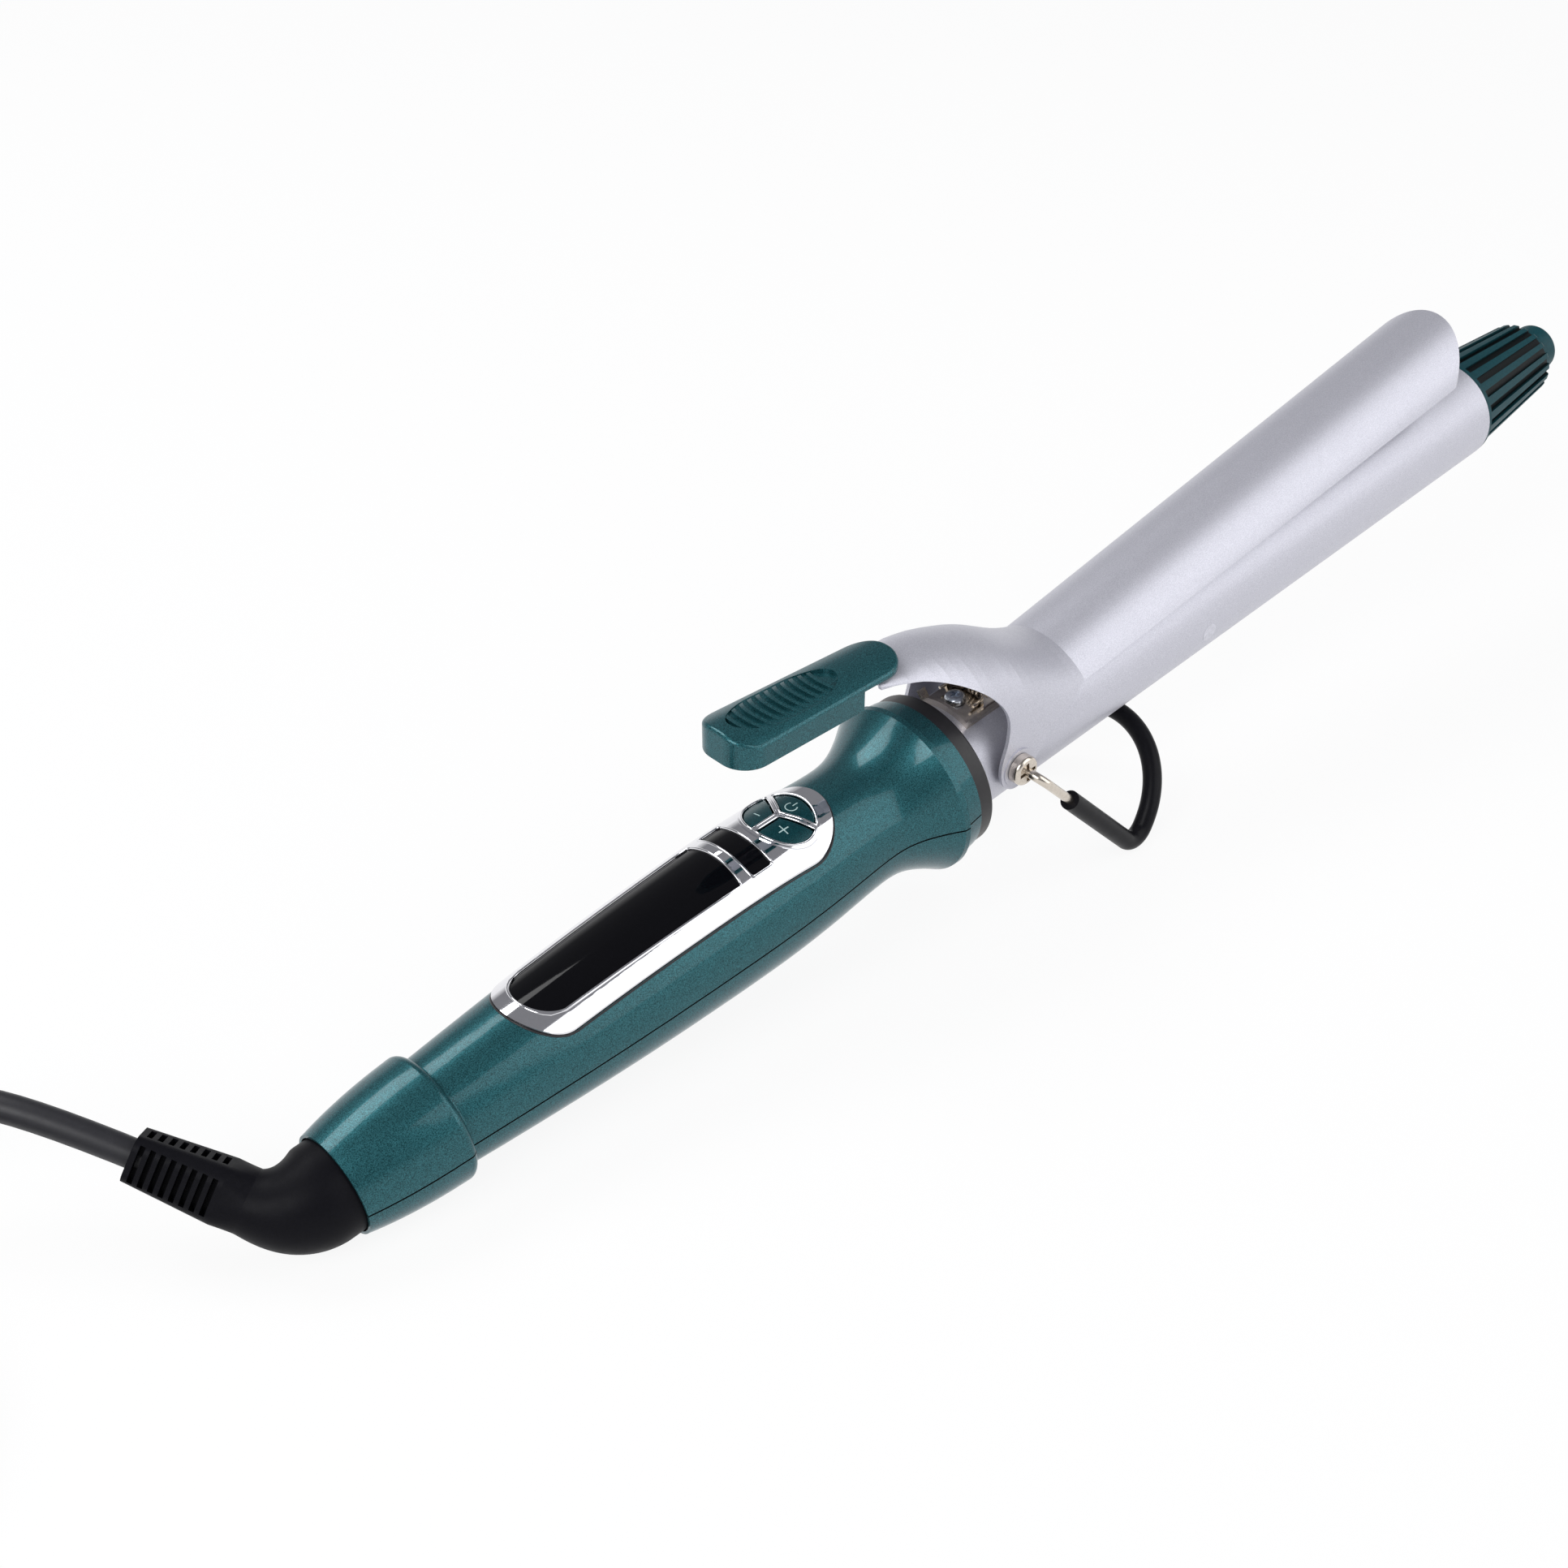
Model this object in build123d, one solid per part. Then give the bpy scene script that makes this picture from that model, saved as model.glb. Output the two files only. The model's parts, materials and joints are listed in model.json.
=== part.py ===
from build123d import *
from math import atan2, cos, degrees, hypot, pi, radians, sin, sqrt, tan
import os

# Barrel axis is X in the iron's own frame, with x = 0 at the front of the heat ring and Z up at the lever.
# Barrel and heat ring
BARREL_R = 12.5
BARREL_WALL = 1.0
BARREL_REAR = -12.0
BARREL_FRONT = 178.3
RING_R = 17.1
RING_LENGTH = 3.8

# Handle
GRIP = [(-126, 10.9), (-106, 12.4), (-87, 13.5), (-67, 14.2), (-52, 14.4), (-36, 13.8), (-27, 13.2),
        (-20, 13.5), (-13.5, 16.0), (-9.4, 18.5)]
SHOULDER = [(-8.2, 18.6), (-7.7, 17.9), (-3.8, 17.4)]
COLLAR = [(-148.3, 10.2), (-142.5, 11.4), (-135, 12.4), (-128, 12.9)]
COLLAR_EDGE = 1.5
WALL = 2.2
CAVITY_FRONT = -5.2
CAVITY_REAR = -122.0
PARTING_GROOVE = 0.3
PARTING_DEPTH = 0.5
SWIVEL_BORE_END = -131.0
SWIVEL_GROOVE = (-143.0, -139.4)
THROAT_R = 6.0
BOARD_POSTS = (-96, -44)

# Control panel, laid out in plan on the handle's crown
CUT_LOW = 2.0
CUT_HIGH = 30.0
PANEL_DEPTH = 1.4
BEZEL_PROUD = 0.45
RIM_WIDTH = 0.9
RIM_PROUD = 0.75
KEY_EDGE = 0.15
LENS_PROUD = 0.15
BEZEL_REAR = -109.1
BEZEL_FRONT = -31.3
BEZEL_HALF_REAR = 9.8
BEZEL_HALF_FRONT = 11.0
LENS_REAR = -105.6
LENS_FRONT = -57.7
LENS_HALF_REAR = 6.7
LENS_HALF_FRONT = 7.6
INDICATOR_REAR = -55.2
INDICATOR_FRONT = -50.3
CLUSTER_X = -41.4
CLUSTER_HALF_X = 6.4
CLUSTER_HALF_Y = 7.8
DIVIDER = 1.2
DIVIDER_SPREAD = 62
KEY_GAP = 0.3
KEY_PROUD = 0.45
KEY_TRAVEL = 0.6
BOARD_TOP = 4.6
BOARD_THICK = 1.2
SWITCH_BODY = 2.4
SWITCH_HEIGHT = 3.2

# Clamp, modelled shut and then turned open about its pivot
PIVOT_X = 10.5
PIVOT_Z = 1.5
CLAMP_OPEN = 6.2
SHEET = 0.8
SPOON_GAP = 0.35
SPOON_TIP = 170.5
SPOON_TIP_LENGTH = 13.0
SPOON_REAR = 34.0
SPOON_OUT = BARREL_R + SPOON_GAP + SHEET
EAR_OUT = 14.1
EAR_R = 5.0
EAR_BOSS_R = 4.2
EAR_BOSS = 0.3
SCREW_R = 2.0
SCREW_HEAD_R = 3.25
SCREW_HEAD = 2.3
RUNNING = 0.05

# Arch of the clamp, front to rear: station, crown height, half width, height where its sides turn upright
ARCH = [(34, 13.65, 13.65, 0), (22.3, 21.8, 14.1, 6), (16.2, 26.9, 14.1, 11), (10, 30.8, 14.1, 14.5),
        (3.7, 33.9, 13.9, 18), (-1.4, 35.6, 11.0, 27), (-8, 37.0, 7.4, 34.0), (-14, 38.3, 5.6, 37.0)]
ARCH_FOOT = -8.0
ARCH_STEPS = 18

# Spring saddle on the crown, its screw, pin and double torsion spring
SADDLE_REAR = 4.2
SADDLE_FRONT = 13.8
SADDLE_HALF = 6.2
SADDLE_THICK = 0.7
SADDLE_LIP = 0.8
SADDLE_SCREW_X = 7.5
SADDLE_SCREW_R = 1.5
SADDLE_HEAD_R = 2.2
SADDLE_HEAD = 1.5
SADDLE_EAR_Y = 5.1
SADDLE_EAR_TOP = 17.0
SPRING_X = 11.8
SPRING_Z = 15.2
SPRING_WIRE = 0.7
SPRING_R = 1.5
SPRING_TURNS = 3
SPRING_PITCH = 1.05
SPRING_INNER_Y = 0.9
SPRING_LIFT = 40.0
SPRING_LEG = 4.0
SPRING_BRIDGE = 6.5
PIN_R = 1.1

# Thumb lever
LEVER_FRONT = (-6.0, 39.6)
LEVER_RISE = 13.0
LEVER_LENGTH = 44.0
LEVER_HALF_FRONT = 6.2
LEVER_HALF_REAR = 7.5
LEVER_HEIGHT = 6.6
LEVER_WALL = 1.6
LEVER_CROWN_R = 14.0
LEVER_EDGE = 0.8
LEVER_LIP = 2.4
SKIRT_START = 12.5
RIB_COUNT = 11
RIB_FIRST = 18.6
RIB_LAST = 39.4
RIB_BOW = 8.0
RIB_HALF = 0.4
RECESS_X = 27.6
RECESS_HALF_X = 13.2
RECESS_HALF_Y = 5.6
RECESS_DEPTH = 0.9
LEVER_ROOF = -3.0
LEVER_SCREWS = (14, 30)
LEVER_SCREW_R = 1.2
LEVER_SCREW_BITE = 1.6

# Stand
WIRE_R = 1.0
SLEEVE_R = 2.1
STAND_HALF = 20.9
STAND_CORNER = (39.4, -35.5)
STAND_APEX = (57.2, -19.4)
STAND_BEND = 3.0
CORNER_BEND = 4.5
STAND_STRAIGHT = 0.3
LOOP_ENTRY = 8.0
SLEEVE_START = 13.0
LOOP_STEPS = 12

# Tip cap
CAP_FLANGE = 1.0
CAP_RIBS_END = 209.5
CAP_R_REAR = 11.9
CAP_R_FRONT = 9.2
CAP_FLANGE_R = 12.4
CAP_SPIGOT = 8.0
CAP_SHOULDER = 1.2
KNOB_R = 5.9
KNOB_END = 218.0
CAP_GROOVES = 20
CAP_GROOVE_WIDTH = 1.7
CAP_GROOVE_DEPTH = 1.3

# Heat dot in the barrel, below the near side's middle
DOT_X = 73.6
DOT_DROP = 7.0
DOT_R = 2.1

# Heater in the barrel
HEATER = (20.0, 165.0)
CERAMIC_HALF = 1.2

# Cord swivel and cord
BOOT_R = 9.35
ELBOW_RADII = [9.35, 9.0, 8.1, 6.9, 5.9]
SPIGOT_R = 4.0
FLANGE = (-142.6, -139.8)
FLANGE_PROUD = 0.9
BEND_X = -158.0
BEND_ANGLE = 60.0
BEND_R = 12.5
BEND_ROLL = 28.0
RELIEF_LENGTH = 20.9
RELIEF_START = 4.5
RELIEF_TURN = -40.0
RELIEF_REAR = 10.8
RELIEF_TIP = 8.6
RELIEF_SLOTS = 8
SLOT_DEPTH = 2.0
SLOT_LENGTH = 1.0
SLOT_TALL = 7.0
SLOT_SHORT = 3.4
CORD_D = 5.4
COIL_TURNS = 4
COIL_INNER = 18.5
COIL_STEP = 6.0
COIL_RISE = 5.9
COIL_END = 9.1
TIE_THICK = 0.7
CORD_INSIDE = 3.0
CORD_FLOOR = 3.6
# Bends of the free cord: places from the strain relief's end, and heights above the floor
CORD_BENDS = [(-18.8, 26.3, 26.0), (-34.3, 37.1, 21.5), (-52.3, 39.4, 12.0), (-69.3, 39.4, CORD_FLOOR),
              (-83.3, 39.4, CORD_FLOOR)]
TAIL = 12.0
PLUG_LENGTH = 34.0
PLUG_HALF = 9.4
PLUG_WIDTH = 31.0
PIN_SPACING = 19.0
PLUG_PIN_R = 2.0
PLUG_PIN_LENGTH = 19.0


def turned(points):
    """Solid of revolution about X from an outline of edges."""
    return revolve(make_face(points), Axis.X)


def rod(radius, start, end):
    """Round bar between two points."""
    line = Line(start, end)
    return extrude(Plane(line @ 0, z_dir=line % 0) * Circle(radius), line.length)


def block(x0, x1, y0, y1, z0, z1):
    """Box from its limits."""
    return Pos((x0 + x1) / 2, (y0 + y1) / 2, (z0 + z1) / 2) * Box(x1 - x0, y1 - y0, z1 - z0)


def prism(outline, low, high):
    """Plan outline carried from one height to another."""
    return extrude(Pos(0, 0, low) * outline, high - low)


def handle_core(inset):
    """The handle as a solid, its whole outside drawn in by an inset."""
    grip = Spline(*[(x, r - inset) for x, r in GRIP])
    collar = Spline(*[(x, r - inset) for x, r in COLLAR])
    edge_x = COLLAR[-1][0] + COLLAR_EDGE
    edge_r = COLLAR[-1][1] - inset
    shoulder = Polyline(grip @ 1, *[(x, r - inset) for x, r in SHOULDER])
    edge = RadiusArc(collar @ 1, (edge_x, edge_r - COLLAR_EDGE * 0.8), COLLAR_EDGE * 1.05)
    step = Polyline(edge @ 1, (edge_x + 0.3, (grip @ 0).Y), grip @ 0)
    axis = Polyline(shoulder @ 1, (SHOULDER[-1][0], 0), (COLLAR[0][0], 0), collar @ 0)
    return turned(collar + edge + step + grip + shoulder + axis)


def handle_cavity():
    """The hollow inside the handle, with the bore and groove for the cord swivel."""
    inner = [(x, r - WALL) for x, r in GRIP if CAVITY_REAR < x < CAVITY_FRONT]
    wall = Spline((CAVITY_REAR, GRIP[0][1] + 0.3 - WALL), *inner)
    ends = Polyline(wall @ 1, (CAVITY_FRONT, (wall @ 1).Y), (CAVITY_FRONT, 0), (CAVITY_REAR, 0), wall @ 0)
    bore = rod(BOOT_R + 0.3, (COLLAR[0][0] - 1, 0, 0), (SWIVEL_BORE_END, 0, 0))
    groove = rod(BOOT_R + FLANGE_PROUD + 0.4, (SWIVEL_GROOVE[0], 0, 0), (SWIVEL_GROOVE[1], 0, 0))
    throat = rod(THROAT_R, (SWIVEL_BORE_END - 1, 0, 0), (CAVITY_REAR + 1, 0, 0))
    return turned(wall + ends) + bore + groove + throat


def bezel_plan(inset=0.0):
    """Long rounded outline of the chrome bezel."""
    rear = BEZEL_REAR + inset
    front = BEZEL_FRONT - inset
    half_r = BEZEL_HALF_REAR - inset
    half_f = BEZEL_HALF_FRONT - inset
    nose = ThreePointArc((front - half_f, -half_f), (front, 0), (front - half_f, half_f))
    far = Line(nose @ 1, (rear + 9, half_r))
    near = Line((rear + 9, -half_r), nose @ 0)
    tail = Spline(far @ 1, (rear + 2.4, half_r * 0.68), (rear, 0), (rear + 2.4, -half_r * 0.68), near @ 0)
    return make_face(nose + far + tail + near)


def lens_plan():
    """Long display window, round at the rear and nearly straight at the front."""
    rear_x = LENS_REAR + 5.5
    rear_arc = ThreePointArc((rear_x, LENS_HALF_REAR), (LENS_REAR, 0), (rear_x, -LENS_HALF_REAR))
    front_arc = ThreePointArc((LENS_FRONT - 0.6, -LENS_HALF_FRONT), (LENS_FRONT, 0),
                              (LENS_FRONT - 0.6, LENS_HALF_FRONT))
    near = Line(rear_arc @ 1, front_arc @ 0)
    far = Line(front_arc @ 1, rear_arc @ 0)
    return make_face(rear_arc + near + front_arc + far)


def indicator_plan():
    """Short window across the panel, between the display and the keys."""
    middle = (INDICATOR_REAR + INDICATOR_FRONT) / 2
    return Pos(middle, 0) * RectangleRounded(INDICATOR_FRONT - INDICATOR_REAR, 2 * LENS_HALF_FRONT, 0.8)


def key_plans(gap):
    """Outlines of the power, plus and minus keys: an oval parted by a three-armed divider."""
    oval = Pos(CLUSTER_X, 0) * Ellipse(CLUSTER_HALF_X - gap, CLUSTER_HALF_Y - gap)
    arm = DIVIDER + 2 * gap
    oval -= Pos(CLUSTER_X, 0) * Rot(0, 0, 180) * Pos(6, 0) * Rectangle(12, arm)
    oval -= Pos(CLUSTER_X, 0) * Rot(0, 0, DIVIDER_SPREAD) * Pos(6, 0) * Rectangle(12 + arm, arm)
    oval -= Pos(CLUSTER_X, 0) * Rot(0, 0, -DIVIDER_SPREAD) * Pos(6, 0) * Rectangle(12 + arm, arm)
    faces = oval.faces().sort_by(Axis.X)
    power = faces[-1]
    rear = ShapeList(faces[:2]).sort_by(Axis.Y)
    return power, rear[0], rear[1]


def panel_layer(outline, proud, depth):
    """A plate of the handle's own curvature under a plan outline."""
    return (prism(outline, CUT_LOW, CUT_HIGH) & handle_core(-proud)) - handle_core(depth)


def handle_shells():
    """Lower and upper half shells with the panel's seat, its openings and the board's posts."""
    shell = handle_core(0) - handle_cavity()
    shell -= rod(BARREL_R, (CAVITY_FRONT - 2, 0, 0), (1, 0, 0))
    slab = block(-160, 10, -40, 40, -PARTING_GROOVE / 2, PARTING_GROOVE / 2)
    shell -= slab - handle_core(PARTING_DEPTH)
    upper = shell & block(-160, 10, -40, 40, 0, 40)
    lower = shell & block(-160, 10, -40, 40, -40, 0)
    upper -= prism(bezel_plan(), CUT_LOW, CUT_HIGH) - handle_core(PANEL_DEPTH)
    upper -= prism(Pos(-80, 0) * Rectangle(38, 9), CUT_LOW, CUT_HIGH)
    upper -= prism(Pos((INDICATOR_REAR + INDICATOR_FRONT) / 2, 0) * Rectangle(2.4, 8), CUT_LOW, CUT_HIGH)
    for face in key_plans(KEY_GAP):
        centre = face.center()
        upper -= rod(1.8, (centre.X, centre.Y, CUT_LOW), (centre.X, centre.Y, CUT_HIGH))
    board_low = BOARD_TOP - BOARD_THICK
    for x in BOARD_POSTS:
        lower += block(x - 1.5, x + 1.5, -4, 4, -20, board_low) & handle_core(WALL / 2)
    return lower, upper


def edges_on(plate, proud):
    """Edges of a plate that lie on its outer surface."""
    surface = handle_core(-proud).shells()[0]
    curved = plate.edges().filter_by(GeomType.BSPLINE)
    return [edge for edge in curved if surface.distance_to(Vertex(*(edge @ 0.37))) < 0.02]


def bezel():
    """Chrome frame with windows for both lenses and the keys, and a raised rim round the keys."""
    plate = panel_layer(bezel_plan(0.05), BEZEL_PROUD, PANEL_DEPTH)
    rim = Pos(CLUSTER_X, 0) * Ellipse(CLUSTER_HALF_X + RIM_WIDTH, CLUSTER_HALF_Y + RIM_WIDTH)
    plate += panel_layer(rim, RIM_PROUD, PANEL_DEPTH)
    plate -= prism(lens_plan(), CUT_LOW, CUT_HIGH)
    plate -= prism(indicator_plan(), CUT_LOW, CUT_HIGH)
    for face in key_plans(0):
        plate -= prism(face, CUT_LOW, CUT_HIGH)
    return plate


def key(face):
    """One push key with its stem above a switch."""
    cap = panel_layer(face, KEY_PROUD, PANEL_DEPTH - KEY_TRAVEL - 0.2)
    cap = fillet(edges_on(cap, KEY_PROUD), KEY_EDGE)
    centre = face.center()
    switch_top = BOARD_TOP + SWITCH_HEIGHT
    stem = rod(1.3, (centre.X, centre.Y, switch_top + KEY_TRAVEL + 0.1), (centre.X, centre.Y, 20))
    return cap + (stem & handle_core(PANEL_DEPTH - KEY_TRAVEL - 0.4))


def switches():
    """Three tact switches under the keys."""
    solids = []
    for face in key_plans(KEY_GAP):
        centre = face.center()
        body = Pos(centre.X, centre.Y, BOARD_TOP + SWITCH_BODY / 2) * Box(4.5, 4.5, SWITCH_BODY)
        top = BOARD_TOP + SWITCH_HEIGHT
        plunger = rod(1.1, (centre.X, centre.Y, BOARD_TOP + SWITCH_BODY), (centre.X, centre.Y, top))
        solids.append(body + plunger)
    return Compound(children=solids)


def heat_ring():
    """Black insulating ring between handle and barrel."""
    ring = rod(RING_R, (-RING_LENGTH, 0, 0), (0, 0, 0)) - rod(BARREL_R, (-RING_LENGTH - 1, 0, 0), (1, 0, 0))
    front = ring.edges().filter_by(GeomType.CIRCLE).group_by(Axis.X)[-1]
    return fillet(front.sort_by(SortBy.LENGTH)[-1:], 0.6)


def barrel():
    """Heated tube with the pivot screw holes, the saddle screw hole and the seat of the heat dot."""
    tube = rod(BARREL_R, (BARREL_REAR, 0, 0), (BARREL_FRONT, 0, 0))
    tube -= rod(BARREL_R - BARREL_WALL, (BARREL_REAR - 1, 0, 0), (BARREL_FRONT + 1, 0, 0))
    tube -= rod(SCREW_R, (PIVOT_X, -20, PIVOT_Z), (PIVOT_X, 20, PIVOT_Z))
    tube -= rod(SADDLE_SCREW_R, (SADDLE_SCREW_X, 0, 5), (SADDLE_SCREW_X, 0, 20))
    return tube - heat_dot_plug()


def heat_dot_plug():
    """Round plug through the barrel's near side."""
    seat = Rot(DOT_DROP, 0, 0) * Pos(DOT_X, -BARREL_R + 0.6, 0)
    return seat * Rot(90, 0, 0) * Cylinder(DOT_R, 2.0)


def heat_dot():
    """Indicator dot set flush in the barrel."""
    start, end = (DOT_X - 10, 0, 0), (DOT_X + 10, 0, 0)
    return heat_dot_plug() & (rod(BARREL_R + 0.05, start, end) - rod(BARREL_R - 0.6, start, end))


def tip_cap():
    """Cool tip: flange, ribbed cone, domed knob and a spigot in the barrel."""
    start = BARREL_FRONT
    bore = BARREL_R - BARREL_WALL
    outline = Polyline((start - CAP_SPIGOT, 0), (start - CAP_SPIGOT, bore), (start, bore),
                       (start, CAP_FLANGE_R), (start + CAP_FLANGE, CAP_FLANGE_R),
                       (start + CAP_FLANGE, CAP_R_REAR),
                       (CAP_RIBS_END - CAP_SHOULDER, CAP_R_FRONT))
    shoulder = RadiusArc(outline @ 1, (CAP_RIBS_END, CAP_R_FRONT - CAP_SHOULDER), CAP_SHOULDER)
    neck = Line(shoulder @ 1, (CAP_RIBS_END, KNOB_R))
    knob = Line(neck @ 1, (KNOB_END - 2.2, KNOB_R))
    dome = Spline(knob @ 1, (KNOB_END - 0.5, KNOB_R - 1.3), (KNOB_END, 0), tangents=[(1, 0), (0, -1)])
    cap = turned(outline + shoulder + neck + knob + dome + Line(dome @ 1, outline @ 0))
    slope = degrees(atan2(CAP_R_REAR - CAP_R_FRONT, CAP_RIBS_END - start))
    length = CAP_RIBS_END - start + 3
    cutter = Pos(start + 2 * CAP_FLANGE, 0, CAP_R_REAR) * Rot(0, slope, 0) * Pos(length / 2, 0, 0)
    cutter = cutter * Box(length, CAP_GROOVE_WIDTH, 2 * CAP_GROOVE_DEPTH)
    cuts = [Rot(360 / CAP_GROOVES * i, 0, 0) * cutter for i in range(CAP_GROOVES)]
    return cap - cuts


def heater():
    """Two half-round aluminium blocks, the ceramic plate between them and a sensor bead."""
    whole = rod(BARREL_R - BARREL_WALL, (HEATER[0], 0, 0), (HEATER[1], 0, 0))
    upper = whole & block(0, 200, -20, 20, CERAMIC_HALF, 20)
    lower = whole & block(0, 200, -20, 20, -20, -CERAMIC_HALF)
    plate = block(24, 160, -7, 7, -CERAMIC_HALF, CERAMIC_HALF)
    sensor = block(20, 23.9, -1.5, 1.5, -CERAMIC_HALF, CERAMIC_HALF)
    return upper, lower, plate, sensor


def heater_leads():
    """Two insulated leads from the board to the heater."""
    low = BOARD_TOP - BOARD_THICK
    pair = [rod(1.1, (-42, y, low - 1.1), (20, y, low - 1.1)) for y in (-3, 3)]
    return Compound(children=pair)


def board():
    """Circuit board on the posts of the lower shell."""
    return block(-104, -33, -8.5, 8.5, BOARD_TOP - BOARD_THICK, BOARD_TOP)


def display_module():
    """Display block between the board and the window in the shell."""
    return block(-98, -62, -4.2, 4.2, BOARD_TOP, 10.2)


def saddle():
    """Sheet saddle on the barrel's crown, with a rear lip, tabs and ears that hold the spring's pin."""
    top = BARREL_R + SADDLE_THICK
    inside = rod(BARREL_R, (0, 0, 0), (20, 0, 0))
    middle = (SADDLE_REAR + SADDLE_FRONT) / 2
    plan = Pos(middle, 0) * Rectangle(SADDLE_FRONT - SADDLE_REAR, 2 * SADDLE_HALF)
    sheet = rod(top, (0, 0, 0), (20, 0, 0)) & prism(plan, 5, 20)
    lip = rod(top + SADDLE_LIP, (SADDLE_REAR, 0, 0), (SADDLE_REAR + SADDLE_THICK, 0, 0))
    sheet += lip & prism(plan, 5, 20)
    for side in (-1, 1):
        ear = block(SPRING_X - 1.8, SPRING_X + 1.8, -SADDLE_THICK / 2, SADDLE_THICK / 2, 11, SADDLE_EAR_TOP)
        sheet += Pos(0, side * SADDLE_EAR_Y, 0) * ear
        tab = Pos(SADDLE_REAR + 0.9, side * (SADDLE_HALF + 0.2), 12.2) * Rot(-side * 35, 0, 0)
        sheet += tab * Box(1.8, SADDLE_THICK, 3.4)
    sheet -= inside
    sheet -= rod(SADDLE_SCREW_R, (SADDLE_SCREW_X, 0, 5), (SADDLE_SCREW_X, 0, 20))
    return sheet - rod(PIN_R, (SPRING_X, -10, SPRING_Z), (SPRING_X, 10, SPRING_Z))


def spring_pin():
    """Pin through the saddle's ears and both spring coils."""
    end = SADDLE_EAR_Y + 0.8
    return rod(PIN_R, (SPRING_X, -end, SPRING_Z), (SPRING_X, end, SPRING_Z))


def saddle_screw():
    """Pan-head screw through the saddle into the barrel."""
    seat = BARREL_R + SADDLE_THICK
    shank = rod(SADDLE_SCREW_R, (SADDLE_SCREW_X, 0, 10.5), (SADDLE_SCREW_X, 0, seat))
    head = rod(SADDLE_HEAD_R, (SADDLE_SCREW_X, 0, seat), (SADDLE_SCREW_X, 0, seat + SADDLE_HEAD))
    head = fillet(head.edges().group_by(Axis.Z)[-1], 0.9)
    return shank + head - cross_slot((SADDLE_SCREW_X, 0, seat + SADDLE_HEAD), SADDLE_HEAD_R)


def cross_slot(top, length):
    """Cross recess that opens upward at a point."""
    return Pos(*top) * (Box(length, 0.7, 1.6) + Box(0.7, length, 1.6))


def arcs_through(points, tangents):
    """Tangent-continuous chain of arc pairs through points with given directions."""
    chain = []
    for i in range(len(points) - 1):
        start, end = points[i], points[i + 1]
        t0, t1 = tangents[i], tangents[i + 1]
        span = end - start
        both = t0 + t1
        bend = 2 * (1 - t0.dot(t1))
        along = span.dot(both)
        if bend < 1e-9:
            reach = span.dot(span) / (2 * along)
        else:
            reach = (sqrt(along * along + bend * span.dot(span)) - along) / bend
        middle = (start + t0 * reach + end - t1 * reach) * 0.5
        chain.append(Edge.make_tangent_arc(start, t0, middle))
        chain.append(Edge.make_tangent_arc(middle, (end - t1 * reach - middle).normalized(), end))
    return chain


def swept_tube(edges, radius):
    """Round tube along a chain of edges."""
    path = Wire(edges)
    return sweep(Plane(path @ 0, z_dir=path % 0) * Circle(radius), path=path)


def least_gap(samples, radius, skip):
    """Least clear distance between stretches of one tube, from points along it."""
    least = 1e9
    for i, a in enumerate(samples):
        for b in samples[i + skip:]:
            least = min(least, hypot(hypot(a.X - b.X, a.Y - b.Y), a.Z - b.Z) - 2 * radius)
    return least


def clamp_spring():
    """Double torsion spring: two opposite coils on the pin and a bridge that lifts the clamp."""
    rise = radians(SPRING_LIFT)
    quarter_steps = SPRING_TURNS * 4
    sweep_angle = 2 * pi * SPRING_TURNS + rise
    height = SPRING_PITCH * sweep_angle / (2 * pi)

    def at(fraction):
        turn = -pi / 2 + sweep_angle * fraction
        return Vector(SPRING_X + SPRING_R * cos(turn), SPRING_INNER_Y + height * (1 - fraction),
                      SPRING_Z + SPRING_R * sin(turn))

    def heading(fraction):
        turn = -pi / 2 + sweep_angle * fraction
        step = -height / sweep_angle
        return Vector(-SPRING_R * sin(turn), step, SPRING_R * cos(turn)).normalized()

    fractions = [i / quarter_steps for i in range(quarter_steps + 1)]
    points = [at(f) for f in fractions]
    headings = [heading(f) for f in fractions]
    foot = points[0] - headings[0] * SPRING_LEG
    arm = points[-1] + headings[-1] * SPRING_BRIDGE
    crossing = Vector(arm.X + SPRING_INNER_Y * cos(rise), 0, arm.Z + SPRING_INNER_Y * sin(rise))
    half = [Line(foot, points[0])] + arcs_through(points, headings) + [Line(points[-1], arm)]
    half += arcs_through([arm, crossing], [headings[-1], Vector(0, -1, 0)])
    mirrored = [edge.mirror(Plane.XZ) for edge in half]
    samples = [at(i / 120) for i in range(121)]
    print("clamp spring gap", round(least_gap(samples, SPRING_WIRE / 2, 24), 2))
    return swept_tube(half + mirrored[::-1], SPRING_WIRE / 2)


def lever_frame():
    """Frame of the thumb lever: x runs to the rear along its top, z stands on its top."""
    rise = radians(LEVER_RISE)
    return Plane((LEVER_FRONT[0], 0, LEVER_FRONT[1]), x_dir=(-cos(rise), 0, sin(rise)),
                 z_dir=(sin(rise), 0, cos(rise))).location


def arch_stations():
    """Stations along the arch from smooth curves through its key sections."""
    crown = Spline(*[(x, half, top) for x, top, half, line in ARCH])
    stations = []
    for i in range(ARCH_STEPS + 1):
        point = crown @ (i / ARCH_STEPS)
        slope = crown % (i / ARCH_STEPS)
        for front, rear in zip(ARCH, ARCH[1:]):
            if front[0] >= point.X - 1e-6 and point.X >= rear[0] - 1e-6:
                share = (front[0] - point.X) / (front[0] - rear[0])
                line = front[3] + (rear[3] - front[3]) * share
        stations.append((point.X, point.Z, point.Y, line, hypot(slope.X, slope.Z) / abs(slope.X)))
    return stations


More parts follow.
